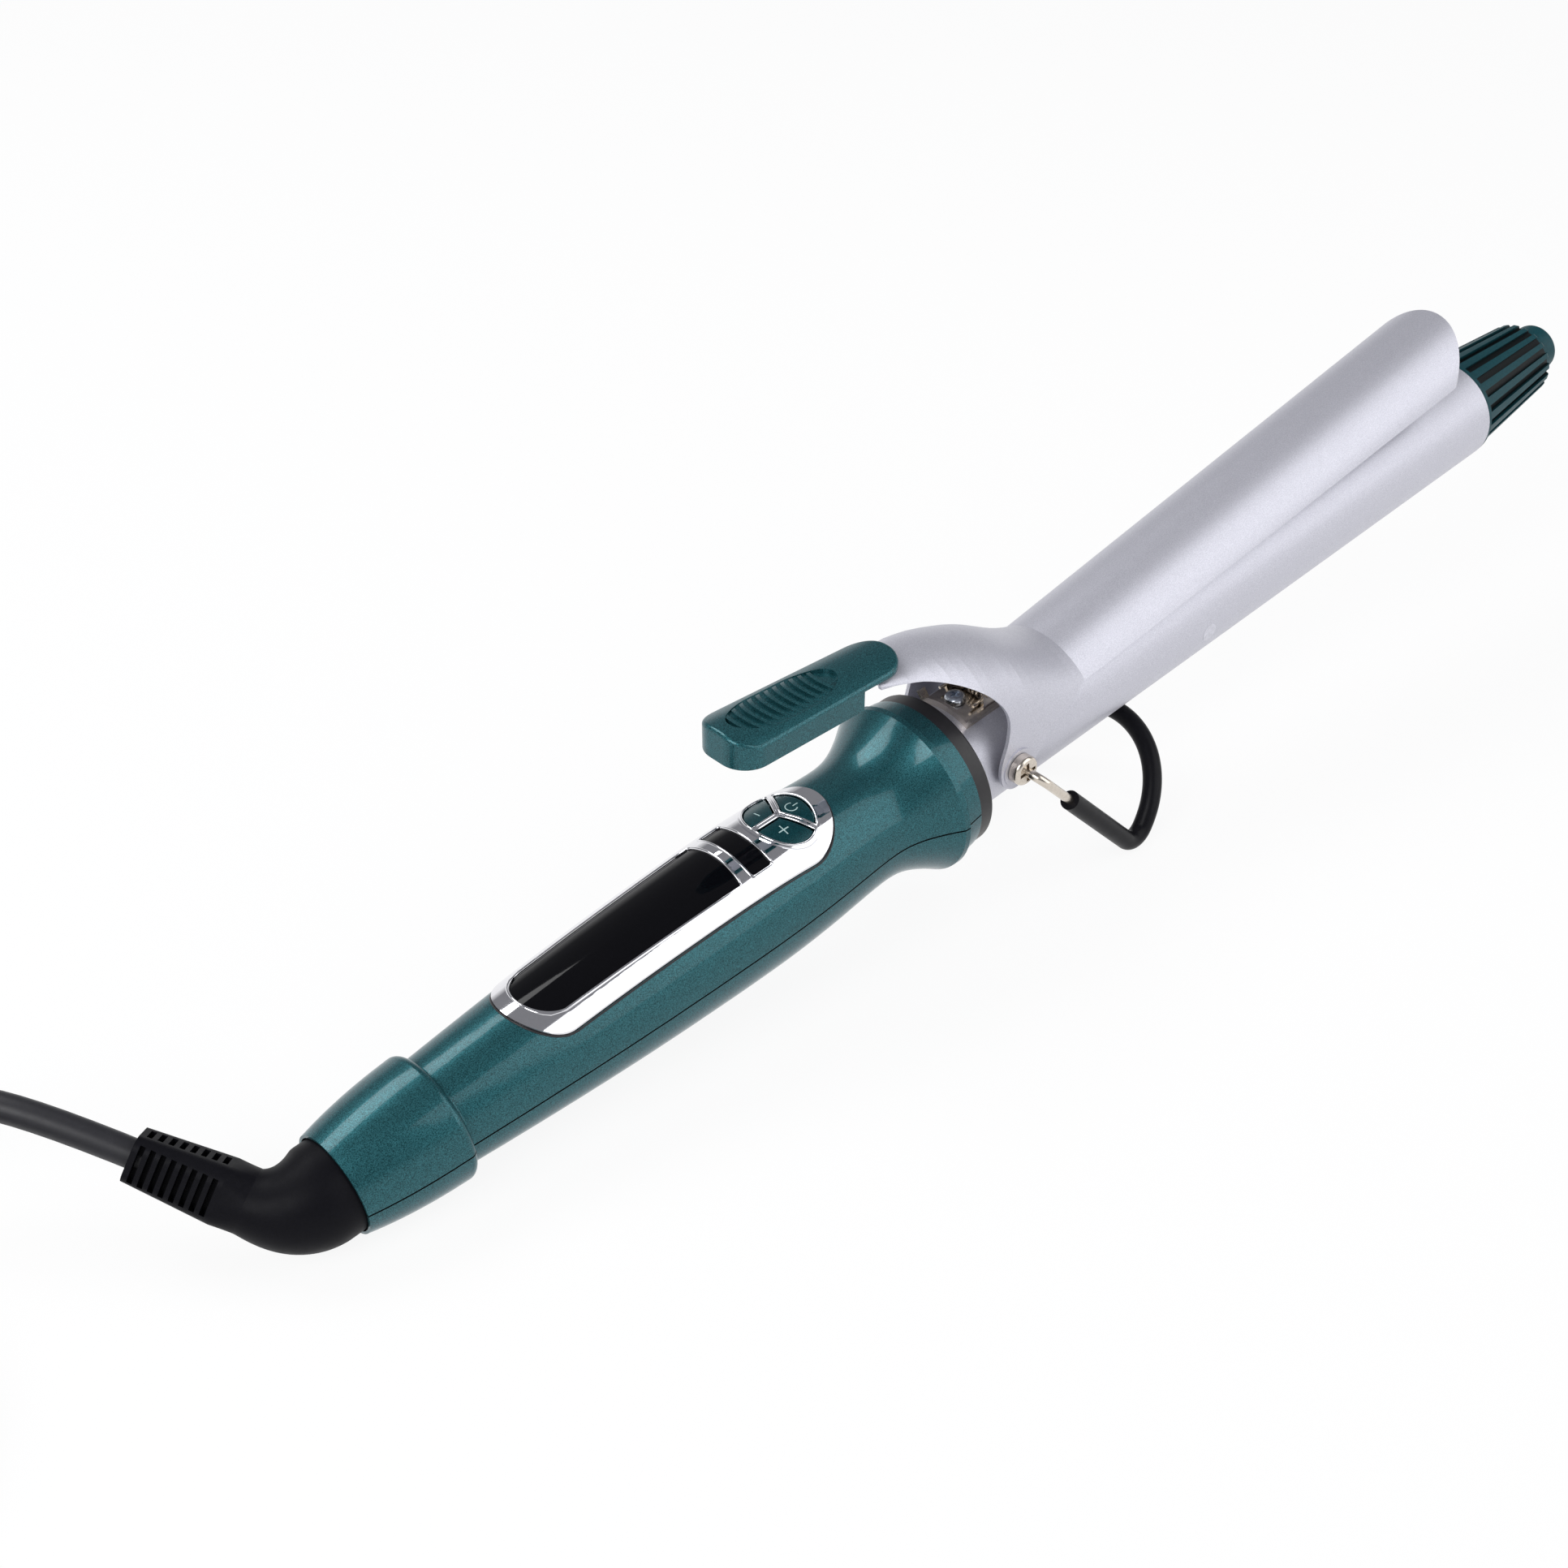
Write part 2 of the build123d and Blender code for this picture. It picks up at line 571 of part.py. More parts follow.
def arch_solid(inset):
    """The arch as a filled hood, drawn in by an inset that allows for its slope."""
    sections = []
    for x, crown, half, spring_line, stretch in arch_stations():
        top = crown - inset * stretch - spring_line
        arc = EllipticalCenterArc((0, spring_line), half - inset, top, start_angle=0, arc_size=180)
        foot = ARCH_FOOT - inset
        sides = Polyline(arc @ 1, (inset - half, foot), (half - inset, foot), arc @ 0)
        sections.append(Plane.YZ.offset(x) * make_face(arc + sides))
    return loft(sections, ruled=True)


def clamp_side():
    """Side outline of the clamp: ears, arch opening and the spoon's lower edge."""
    rear = Spline((PIVOT_X - EAR_R, PIVOT_Z), (8.2, 8.5), (9.9, 14), (8.4, 20), (4.2, 26), (-1.8, 31.3),
                  (-8, 34.6), (-15, 36.6), tangents=[(0, 1), (-1, 0.2)])
    top = Polyline(rear @ 1, (-15, 46), (175, 46), (175, 2.9), (SPOON_REAR, 6.5))
    ear_end = (PIVOT_X + EAR_R * cos(radians(40)), PIVOT_Z - EAR_R * sin(radians(40)))
    front = Spline(top @ 1, (24, 4.9), ear_end, tangents=[(-1, 0.02), (-sin(radians(40)), -cos(radians(40)))])
    ear = ThreePointArc(ear_end, (PIVOT_X - 1.5, PIVOT_Z - sqrt(EAR_R ** 2 - 1.5 ** 2)), rear @ 0)
    return extrude(Plane.XZ * make_face(rear + top + front + ear), 30, both=True)


def clamp():
    """Sheet clamp, shut: spoon over the barrel, arch, pivot ears and the tongue in the thumb lever."""
    spoon = rod(SPOON_OUT, (SPOON_REAR, 0, 0), (SPOON_TIP, 0, 0))
    spoon -= rod(SPOON_OUT - SHEET, (SPOON_REAR - 4, 0, 0), (SPOON_TIP + 4, 0, 0))
    side = clamp_side()
    sheet = ((arch_solid(0) & side) - arch_solid(SHEET)) + (spoon & side)
    start = SPOON_TIP - SPOON_TIP_LENGTH
    tip = Pos(start, 0) * Ellipse(SPOON_TIP_LENGTH, SPOON_OUT + 0.05)
    tip += Pos(start - 100, 0) * Rectangle(200, 40)
    sheet &= prism(tip, -20, 60)
    for side in (-1, 1):
        sheet += rod(EAR_BOSS_R, (PIVOT_X, side * (EAR_OUT - SHEET), PIVOT_Z),
                     (PIVOT_X, side * (EAR_OUT + EAR_BOSS), PIVOT_Z))
    tongue = block(5, 36, -4.2, 4.2, LEVER_ROOF - SHEET, LEVER_ROOF)
    for u in LEVER_SCREWS:
        tongue -= rod(LEVER_SCREW_R, (u, 0, -20), (u, 0, 5))
    sheet += lever_frame() * tongue
    return sheet - rod(SCREW_R + RUNNING, (PIVOT_X, -20, PIVOT_Z), (PIVOT_X, 20, PIVOT_Z))


def lever_plan(inset=0.0):
    """Plan of the thumb lever: rounded at the front, squarer at the rear."""
    front, rear = LEVER_HALF_FRONT - inset, LEVER_HALF_REAR - inset
    first, last = inset, LEVER_LENGTH - inset
    outline = make_face(Polyline((first, -front), (last, -rear), (last, rear), (first, front), close=True))
    corners = outline.vertices().sort_by(Axis.X)
    outline = fillet(corners[2:], 5.6 - inset)
    return fillet(outline.vertices().sort_by(Axis.X)[:2], front - 0.3)


def thumb_lever():
    """Thumb lever: crowned hollow cap with a ribbed oval recess for the thumb."""
    body = prism(lever_plan(), -LEVER_HEIGHT, 1)
    axis = Pos(LEVER_LENGTH / 2, 0, -LEVER_CROWN_R) * Rot(0, 90, 0)
    body &= axis * Cylinder(LEVER_CROWN_R, 80)
    body = fillet(body.faces().sort_by(Axis.Z)[-1].edges(), LEVER_EDGE)
    body -= block(-1, SKIRT_START, -10, 10, -LEVER_HEIGHT - 1, -LEVER_LIP)
    body -= prism(lever_plan(LEVER_WALL), -LEVER_HEIGHT - 1, LEVER_ROOF)
    recess = Pos(RECESS_X, 0) * Ellipse(RECESS_HALF_X, RECESS_HALF_Y)
    body -= prism(recess, -1, 3) - axis * Cylinder(LEVER_CROWN_R - RECESS_DEPTH, 80)
    crest = axis * Cylinder(LEVER_CROWN_R - 0.15, 80)
    for i in range(RIB_COUNT):
        u = RIB_FIRST + (RIB_LAST - RIB_FIRST) * i / (RIB_COUNT - 1)
        band = Pos(u - RIB_BOW, 0) * (Circle(RIB_BOW + RIB_HALF) - Circle(RIB_BOW - RIB_HALF))
        band &= Pos(u, 0) * Rectangle(6.4, 2 * RECESS_HALF_Y + 1)
        body += prism(band & recess, LEVER_ROOF + 0.2, 3) & crest
    for u in LEVER_SCREWS:
        body -= rod(LEVER_SCREW_R, (u, 0, LEVER_ROOF - 1), (u, 0, LEVER_ROOF + LEVER_SCREW_BITE))
    return lever_frame() * body - arch_solid(0)


def lever_screws():
    """Screws that hold the lever on the tongue."""
    seat = LEVER_ROOF - SHEET
    pair = []
    for u in LEVER_SCREWS:
        shank = rod(LEVER_SCREW_R, (u, 0, seat), (u, 0, LEVER_ROOF + LEVER_SCREW_BITE))
        pair.append(lever_frame() * (shank + rod(2.2, (u, 0, seat - 1.4), (u, 0, seat))))
    return Compound(children=pair)


def opened(shape):
    """Turn the shut clamp to its resting angle."""
    pivot = Pos(PIVOT_X, 0, PIVOT_Z)
    return pivot * Rot(0, -CLAMP_OPEN, 0) * pivot.inverse() * shape


def pivot_screw(side):
    """Pan-head pivot screw with a central hole for the stand's wire."""
    seat = EAR_OUT + EAR_BOSS + 0.15
    inner, outer = side * 10.6, side * seat
    head_end = side * (seat + SCREW_HEAD)
    screw = rod(SCREW_R, (PIVOT_X, inner, PIVOT_Z), (PIVOT_X, outer, PIVOT_Z))
    head = rod(SCREW_HEAD_R, (PIVOT_X, outer, PIVOT_Z), (PIVOT_X, head_end, PIVOT_Z))
    head = fillet(head.edges().filter_by(GeomType.CIRCLE).sort_by(Axis.Y)[-1 if side > 0 else 0], 0.9)
    slot = Pos(PIVOT_X, head_end, PIVOT_Z) * (Box(4.4, 1.6, 0.8) + Box(0.8, 1.6, 4.4))
    hole = rod(WIRE_R + RUNNING, (PIVOT_X, side * 11.5, PIVOT_Z), (PIVOT_X, side * 30, PIVOT_Z))
    return screw + head - slot - hole


def stand_path(start):
    """One continuous wire line from the near leg round the oval of the loop to the far leg."""
    corner = Vector(STAND_CORNER[0], -STAND_HALF, STAND_CORNER[1])
    apex = Vector(STAND_APEX[0], -STAND_HALF, STAND_APEX[1])
    rise = (apex - corner).normalized()
    entry = radians(LOOP_ENTRY)
    inward = rise * cos(entry) + Vector(0, sin(entry), 0)
    leg = (corner - Vector(*start[-1])).normalized()
    turn = radians(leg.get_angle(inward))
    loop_start = corner + inward * (CORNER_BEND * tan(turn / 2) + STAND_STRAIGHT)
    radii = [STAND_BEND] * (len(start) - 1) + [CORNER_BEND]
    near = FilletPolyline(*start, corner, loop_start, radius=radii).edges()
    middle = Vector(loop_start.X, 0, loop_start.Z)
    reach = rise * ((apex - loop_start).dot(rise) / (1 - sin(entry)))
    half = -loop_start.Y / cos(entry)
    points = []
    headings = []
    for i in range(LOOP_STEPS + 1):
        angle = entry + (pi - 2 * entry) * i / LOOP_STEPS
        points.append(middle + reach * (sin(angle) - sin(entry)) - Vector(0, half * cos(angle), 0))
        headings.append((reach * cos(angle) + Vector(0, half * sin(angle), 0)).normalized())
    headings[0] = inward
    headings[-1] = Vector(0, inward.Y, 0) * 2 - inward
    loop = arcs_through(points, headings)
    far = [edge.mirror(Plane.XZ) for edge in near]
    return [*near, *loop, *far[::-1]]


def stand_wire():
    """Nickel wire stand whose ends sit in the pivot screws."""
    start = [(PIVOT_X, -12.0, PIVOT_Z), (PIVOT_X, -STAND_HALF, PIVOT_Z)]
    return swept_tube(stand_path(start), WIRE_R)


def stand_sleeve():
    """Black sleeve over the wire's loop and most of both legs."""
    corner_x, corner_z = STAND_CORNER
    leg = hypot(corner_x - PIVOT_X, corner_z - PIVOT_Z)
    share = SLEEVE_START / leg
    first = (PIVOT_X + (corner_x - PIVOT_X) * share, -STAND_HALF, PIVOT_Z + (corner_z - PIVOT_Z) * share)
    path = Wire(stand_path([first]))
    ring = Plane(path @ 0, z_dir=path % 0) * (Circle(SLEEVE_R) - Circle(WIRE_R))
    return sweep(ring, path=path)


def resting_tilt():
    """Angle at which the stand's corners and the collar's underside share one floor."""
    corner = Vector(STAND_CORNER[0], STAND_CORNER[1])
    to_pivot = (Vector(PIVOT_X, PIVOT_Z) - corner).normalized()
    to_apex = (Vector(*STAND_APEX) - corner).normalized()
    half = radians(to_pivot.get_angle(to_apex)) / 2
    centre = corner + (to_pivot + to_apex).normalized() * (CORNER_BEND / sin(half))
    across = centre.X - COLLAR[-1][0]
    up = centre.Y + COLLAR[-1][1]
    reach = CORNER_BEND + SLEEVE_R
    return degrees(atan2(reach, sqrt(across ** 2 + up ** 2 - reach ** 2)) - atan2(up, across))


def bend_frame(angle):
    """Frame on the boot's bend after turning by an angle, before it is rolled about the handle's axis."""
    start = BEND_X + BEND_R * tan(radians(BEND_ANGLE / 2))
    a = radians(angle)
    centre = (start - BEND_R * sin(a), BEND_R * (1 - cos(a)), 0)
    return Plane(centre, x_dir=(0, 0, 1), z_dir=(-cos(a), sin(a), 0))


def relief_end():
    """Centre and direction of the strain relief's open end, in the iron's frame."""
    frame = bend_frame(BEND_ANGLE)
    tip = Rot(BEND_ROLL, 0, 0) * Pos(*(frame.origin + frame.z_dir * RELIEF_LENGTH))
    roll = radians(BEND_ROLL)
    heading = Vector(frame.z_dir.X, frame.z_dir.Y * cos(roll), frame.z_dir.Y * sin(roll))
    return tip.position, heading


def boot():
    """Swivel boot: spigot and flange in the collar, elbow and slotted strain relief."""
    last = len(ELBOW_RADII) - 1
    elbow = loft([bend_frame(BEND_ANGLE * i / last) * Circle(r) for i, r in enumerate(ELBOW_RADII)])
    start = bend_frame(0).origin.X
    base = rod(BOOT_R, (start, 0, 0), (FLANGE[1], 0, 0))
    base += rod(BOOT_R + FLANGE_PROUD, (FLANGE[0], 0, 0), (FLANGE[1], 0, 0))
    base += rod(SPIGOT_R, (FLANGE[1], 0, 0), (-126, 0, 0))
    frame = Plane(bend_frame(BEND_ANGLE).location * Rot(0, 0, RELIEF_TURN))
    shoulder = frame.offset(RELIEF_START) * RectangleRounded(RELIEF_REAR, RELIEF_REAR, 3.2)
    tip = frame.offset(RELIEF_LENGTH) * RectangleRounded(RELIEF_TIP, RELIEF_TIP, 2.2)
    relief = loft([frame * Circle(ELBOW_RADII[-1]), shoulder]) + loft([shoulder, tip])
    taper = (RELIEF_TIP - RELIEF_REAR) / (RELIEF_LENGTH - RELIEF_START)
    pitch = (RELIEF_LENGTH - RELIEF_START - 1.1) / RELIEF_SLOTS
    for i in range(RELIEF_SLOTS):
        along = RELIEF_START + 0.9 + pitch * i
        half = (RELIEF_REAR + taper * (along - RELIEF_START)) / 2
        for turn in range(4):
            tall = SLOT_TALL if turn % 2 == 0 else SLOT_SHORT
            cut = Rot(0, 0, 90 * turn) * Pos(half, 0, along + SLOT_LENGTH / 2)
            cut = cut * Box(2 * SLOT_DEPTH, tall, SLOT_LENGTH)
            relief -= frame.location * cut
    whole = Rot(BEND_ROLL, 0, 0) * (base + elbow + relief)
    end, heading = relief_end()
    return whole - rod(CORD_D / 2, end - heading * CORD_INSIDE, end + heading)


def slip_ring():
    """Brass ring on the boot's spigot."""
    return rod(5.0, (-136, 0, 0), (-133, 0, 0)) - rod(SPIGOT_R, (-140, 0, 0), (-130, 0, 0))


def contact_brush():
    """Brass leaf that feeds the swivel, held on the rear of the board."""
    low = BOARD_TOP - BOARD_THICK
    return block(-125.6, -100, -2, 2, low - 0.5, low)


def cord_points(end, heading):
    """Route of the free cord, from inside the strain relief down to the floor beside the coil."""
    route = [end - heading * CORD_INSIDE, end + heading * 16]
    for x, y, height in CORD_BENDS:
        route.append(Vector(end.X + x, end.Y + y, height))
    return route, (route[-1] - route[-2]).normalized()


def cord(route):
    """Free stretch of the cord as straight runs joined by the largest tangent arcs."""
    radii = []
    for before, point, after in zip(route, route[1:], route[2:]):
        first, second = point - before, after - point
        turn = radians(first.get_angle(second))
        radii.append(0.45 * min(first.length, second.length) / tan(turn / 2))
    print("cord radii", [round(r, 1) for r in radii])
    path = FilletPolyline(*route, radius=radii)
    return swept_tube(path.edges(), CORD_D / 2)


def coil_place(start, plan, turns):
    """Point and heading on the coil after a number of turns, spiralling in, climbing and spiralling out."""
    left = Vector(-plan.Y, plan.X, 0)
    outer = COIL_INNER + COIL_STEP * COIL_TURNS
    turning = COIL_TURNS + 0.25
    inward = min(turns, turning)
    climb = min(max(turns - COIL_TURNS, 0), 0.5) * 2
    outward = max(turns - turning, 0)
    radius = outer - COIL_STEP * inward + COIL_STEP * outward
    height = COIL_RISE * climb * climb * (3 - 2 * climb)
    angle = 2 * pi * turns
    out = plan * sin(angle) - left * cos(angle)
    along = plan * cos(angle) + left * sin(angle)
    growth = COIL_STEP * ((turns > turning) - (turns < turning)) * (turns > 0)
    lift = 12 * COIL_RISE * climb * (1 - climb)
    heading = along * (2 * pi * radius) + out * growth + Vector(0, 0, lift)
    return start + left * outer + out * radius + Vector(0, 0, height), heading.normalized()


def cord_coil(start, plan):
    """Put-away length of the cord: flat spiral in, climb, flat spiral out, straight tail to the plug."""
    lead = start + plan * CORD_D
    marks = [i / 4 for i in range(int(4 * COIL_END) + 1)] + [COIL_END]
    places = [coil_place(lead, plan, mark) for mark in marks]
    end, leaving = places[-1]
    tail = end + leaving * TAIL
    turns = arcs_through([point for point, way in places], [way for point, way in places])
    edges = [Line(start, lead), *turns, Line(end, tail)]
    samples = [coil_place(lead, plan, i / 48)[0] for i in range(int(48 * COIL_END) + 1)]
    print("coil gap", round(least_gap(samples, CORD_D / 2, 24), 2))
    length = sum(edge.length for edge in edges)
    print("coil length", round(length, 1))
    return swept_tube(edges, CORD_D / 2), tail, leaving


def coil_tie(start, plan):
    """Flat band round the coil's bundle, opposite the cord's entry."""
    lead = start + plan * CORD_D
    left = Vector(-plan.Y, plan.X, 0)
    outer = COIL_INNER + COIL_STEP * COIL_TURNS
    middle_r = (COIL_INNER + outer) / 2
    wide = outer - COIL_INNER + CORD_D + 1.2
    high = COIL_RISE + CORD_D + 0.4
    centre = Vector(lead.X, lead.Y, 0) + left * (outer + middle_r) + Vector(0, 0, TIE_THICK + high / 2)
    frame = Plane(centre, x_dir=left, z_dir=plan)
    ring = RectangleRounded(wide + 2 * TIE_THICK, high + 2 * TIE_THICK, 2.6)
    ring -= RectangleRounded(wide, high, 1.9)
    return extrude(frame * ring, 3, both=True)


def plug(tail, plan):
    """Moulded plug body on the tail's end."""
    frame = Plane(tail, x_dir=(plan.Y, -plan.X, 0), z_dir=plan)
    neck = frame * Circle(4.2)
    waist = frame.offset(12) * RectangleRounded(11, 10, 3.5)
    wide = frame.offset(22) * RectangleRounded(PLUG_WIDTH - 1, 2 * PLUG_HALF, 5)
    face = frame.offset(PLUG_LENGTH) * RectangleRounded(PLUG_WIDTH, 2 * PLUG_HALF, 5)
    return loft([neck, waist]) + loft([waist, wide]) + loft([wide, face])


def plug_pins(tail, plan):
    """Two round pins on the plug's face."""
    side = Vector(plan.Y, -plan.X, 0)
    face = tail + plan * PLUG_LENGTH
    pins = []
    for sign in (-1, 1):
        foot = face + side * (sign * PIN_SPACING / 2)
        pin = rod(PLUG_PIN_R, foot, foot + plan * PLUG_PIN_LENGTH)
        rims = pin.edges().filter_by(GeomType.CIRCLE).sort_by(lambda rim: (rim.center() - face).dot(plan))
        pins.append(fillet(rims[-1], 1.2))
    return Compound(children=pins)


def main():
    os.makedirs("parts", exist_ok=True)
    lower, upper = handle_shells()
    block_upper, block_lower, ceramic, sensor = heater()
    power, plus, minus = key_plans(KEY_GAP)
    iron = {
        "lower_handle_shell": lower,
        "upper_handle_shell": upper,
        "heat_ring": heat_ring(),
        "barrel": barrel(),
        "heat_dot": heat_dot(),
        "tip_cap": tip_cap(),
        "upper_heater_block": block_upper,
        "lower_heater_block": block_lower,
        "ceramic_heater": ceramic,
        "temperature_sensor": sensor,
        "heater_leads": heater_leads(),
        "circuit_board": board(),
        "display_module": display_module(),
        "tact_switches": switches(),
        "contact_brush": contact_brush(),
        "bezel": bezel(),
        "display_lens": panel_layer(lens_plan(), LENS_PROUD, PANEL_DEPTH),
        "indicator_lens": panel_layer(indicator_plan(), LENS_PROUD, PANEL_DEPTH),
        "power_button": key(power),
        "plus_button": key(plus),
        "minus_button": key(minus),
        "spring_saddle": saddle(),
        "saddle_screw": saddle_screw(),
        "spring_pin": spring_pin(),
        "clamp_spring": clamp_spring(),
        "near_pivot_screw": pivot_screw(-1),
        "far_pivot_screw": pivot_screw(1),
        "clamp": opened(clamp()),
        "thumb_lever": opened(thumb_lever()),
        "lever_screws": opened(lever_screws()),
        "stand_wire": stand_wire(),
        "stand_sleeve": stand_sleeve(),
        "slip_ring": slip_ring(),
    }
    tilt = resting_tilt()
    tilted = {name: Rot(0, -tilt, 0) * shape for name, shape in iron.items()}
    boxes = [shape.bounding_box() for shape in tilted.values()]
    middle = (min(box.min.X for box in boxes) + max(box.max.X for box in boxes)) / 2
    shift = Pos(-middle, 0, -min(box.min.Z for box in boxes))
    place = shift * Rot(0, -tilt, 0)
    print("tilt", round(tilt, 3), "shift", shift.position)
    end, heading = relief_end()
    end = (place * Pos(*end)).position
    heading = (Rot(0, -tilt, 0) * Pos(*heading)).position
    route, plan = cord_points(end, heading)
    coil, tail, leaving = cord_coil(route[-1], plan)
    nodes = {name: shift * shape for name, shape in tilted.items()}
    nodes["swivel_boot"] = place * boot()
    nodes["cord"] = cord(route)
    nodes["cord_coil"] = coil
    nodes["coil_tie"] = coil_tie(route[-1], plan)
    nodes["plug"] = plug(tail, leaving)
    nodes["plug_pins"] = plug_pins(tail, leaving)
    for point in route:
        print("cord point", [round(v, 2) for v in point])
    for name, shape in nodes.items():
        export_step(shape, f"parts/{name}.step")


main()
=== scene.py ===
import json
from math import atan2, cos, pi, radians, sin

import bmesh
import bpy
from mathutils import Matrix, Vector

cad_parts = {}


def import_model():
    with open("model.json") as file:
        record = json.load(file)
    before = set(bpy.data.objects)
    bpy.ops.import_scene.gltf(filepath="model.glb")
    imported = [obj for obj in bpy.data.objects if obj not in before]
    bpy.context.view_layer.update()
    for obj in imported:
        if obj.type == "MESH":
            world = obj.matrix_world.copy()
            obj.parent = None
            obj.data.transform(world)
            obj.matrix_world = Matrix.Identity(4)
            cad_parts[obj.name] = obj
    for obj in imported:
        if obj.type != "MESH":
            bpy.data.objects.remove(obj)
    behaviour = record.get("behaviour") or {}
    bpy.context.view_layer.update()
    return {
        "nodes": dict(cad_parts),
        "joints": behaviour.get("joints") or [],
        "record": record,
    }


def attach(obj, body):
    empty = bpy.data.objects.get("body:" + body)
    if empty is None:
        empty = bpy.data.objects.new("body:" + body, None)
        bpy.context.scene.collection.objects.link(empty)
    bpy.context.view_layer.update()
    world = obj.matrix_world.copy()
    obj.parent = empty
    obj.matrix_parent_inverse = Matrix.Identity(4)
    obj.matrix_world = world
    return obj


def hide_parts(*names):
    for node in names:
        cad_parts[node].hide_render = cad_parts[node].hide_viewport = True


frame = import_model()
nodes = frame["nodes"]
joints = {joint["name"]: joint for joint in frame["joints"]}
MM = 0.001

# The iron's own frame: x along the barrel from the front of the heat ring, z up at the thumb lever.
# Measures below are millimetres in this frame, unless they say otherwise.
PIVOT = Vector((10.5, 0, 1.5)) * MM
along = Vector(joints["cord_swivel"]["axis"]).normalized()
up = along.cross(Vector((0, 1, 0)))
turn = Matrix((along, (0, 1, 0), up)).transposed()
origin = Vector(joints["clamp_hinge"]["pos_m"]) - turn @ PIVOT
IRON = Matrix.Translation(origin) @ turn.to_4x4()
DOWN = (IRON.to_3x3() @ Vector((0, 0, -1))).normalized()

# Camera of the photograph
CAMERA_AT = (-248.76, -256.06, 300.96)
CAMERA_RIGHT = (0.72625, -0.68268, -0.08069)
CAMERA_DOWN = (-0.48873, -0.43020, -0.75899)
CAMERA_VIEW = (0.48343, 0.59065, -0.64608)
FOCAL_PIXELS = 2815.4
PHOTO_PIXELS = 1932
SENSOR = 36
CLIP_START = 0.01

# Cord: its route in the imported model's frame, and the coil that follows it
CORD_D = 5.4
CORD_ROUTE = [(-204.41, 19.21, 17.73), (-214.86, 33.73, 24.11), (-224.86, 47.80, 26.0), (-240.36, 58.60, 21.5),
              (-258.36, 60.90, 12.0), (-275.36, 60.90, 3.6), (-289.36, 60.90, 3.6)]
COIL_TURNS = 4
COIL_INNER = 18.5
COIL_STEP = 6.0
COIL_RISE = 5.9
COIL_POINTS = 16
COIL_END = 9.1
COIL_TURNBACK = 0.25
COIL_CLIMB = 0.5
CORD_TAIL = 12.0
TANGENT_STEP = 0.01

# Lacquer and grain
FLAKE_SCALE = 5200
SHEEN_SCALE = 700
GRAIN_SHEEN = 0.21
COAT_IOR = 1.35
COAT_ROUGH = 0.10
RELIEF_DEPTH = 0.1 * MM

# Painted shade in grooves: black along the handle's parting line and near-black between the tip cap's ribs
SEAM_HALF = 0.17 * MM
SEAM_FADE = 1.15
SEAM_SHADE_COLOUR = (0, 0, 0)
CAP_START = 179.3 * MM
CAP_SLOPE = 2.7 / 31.2
CAP_GROUND = 10.9 * MM
CAP_FADE = 0.8 * MM
CAP_RIBS_END = 209.4 * MM
CAP_CLEAR = 20 * MM
CAP_SHADE_COLOUR = (0.001, 0.004, 0.005)

# Marks on the keys
MARK_WIDTH = 0.24
MARK_PROUD = 0.03
MARK_HALF = 1.2
MINUS_HALF = 0.85
PLUS_AT = (-43.4, -3.6)
MINUS_AT = (-43.9, 3.4)
POWER_AT = (-38.0, 0.0)
POWER_R = 1.2
POWER_GAP = radians(50)
POWER_STEPS = 20
POWER_STROKE = (0.35, 0.8, 1.25, 1.65)

# Panel: the oval cluster of keys, its dividers, the bezel and the beads along their edges
CLUSTER_X = -41.4
CLUSTER_A = 6.4
CLUSTER_B = 7.8
DIVIDER_HALF = 0.6
DIVIDER_ANGLE = 62
KEY_STEPS = 18
WINDOW_STEPS = 8
ROUND_BOW = 2
BEZEL_REAR = -109.1
BEZEL_FRONT = -31.3
BEZEL_HALF_REAR = 9.8
BEZEL_HALF_FRONT = 11.0
BEZEL_TAIL = 9.0
BEZEL_ARC_STEPS = 12
BEZEL_SIDE_STEPS = 14
CAST_FROM = 30

# Stage, in metres
FLOOR_HALF = 4.0
FLOOR_COLOUR = (0.88, 0.88, 0.89, 1)
FLOOR_ROUGH = 0.8
FLOOR_WHITE = 0.9
BACKDROP_LOW = 0.04
BACKDROP_HIGH = 0.32
BACKDROP = ((1.0, 1.0, 1.0), (0.235, 0.237, 0.25))


def add_object(name, data):
    """New object in the scene."""
    obj = bpy.data.objects.new(name, data)
    bpy.context.scene.collection.objects.link(obj)
    return obj


def camera():
    """Camera at the photograph's place and lens."""
    data = bpy.data.cameras.new("camera")
    data.sensor_width = SENSOR
    data.lens = FOCAL_PIXELS / PHOTO_PIXELS * SENSOR
    data.clip_start = CLIP_START
    obj = add_object("camera", data)
    axes = Matrix((CAMERA_RIGHT, Vector(CAMERA_DOWN) * -1, Vector(CAMERA_VIEW) * -1)).transposed()
    obj.matrix_world = IRON @ Matrix.Translation(Vector(CAMERA_AT) * MM) @ axes.to_4x4()
    bpy.context.scene.camera = obj


camera()


# Materials
def new_material(name):
    """Node material, with its tree and its shader."""
    material = bpy.data.materials.new(name)
    material.use_nodes = True
    return material, material.node_tree, material.node_tree.nodes["Principled BSDF"]


def noise(tree, scale, detail=2.0, rough=0.5):
    """Noise in the object's own coordinates."""
    place = tree.nodes.new("ShaderNodeTexCoord")
    texture = tree.nodes.new("ShaderNodeTexNoise")
    texture.inputs["Scale"].default_value = scale
    texture.inputs["Detail"].default_value = detail
    texture.inputs["Roughness"].default_value = rough
    tree.links.new(place.outputs["Object"], texture.inputs["Vector"])
    return texture.outputs["Fac"]


def ramp(tree, value, low, high, colours):
    """Colours over a stretch of a value."""
    node = tree.nodes.new("ShaderNodeValToRGB")
    for element, position, colour in zip(node.color_ramp.elements, (low, high), colours):
        element.position = position
        element.color = (*colour, 1)
    tree.links.new(value, node.inputs["Fac"])
    return node.outputs["Color"]


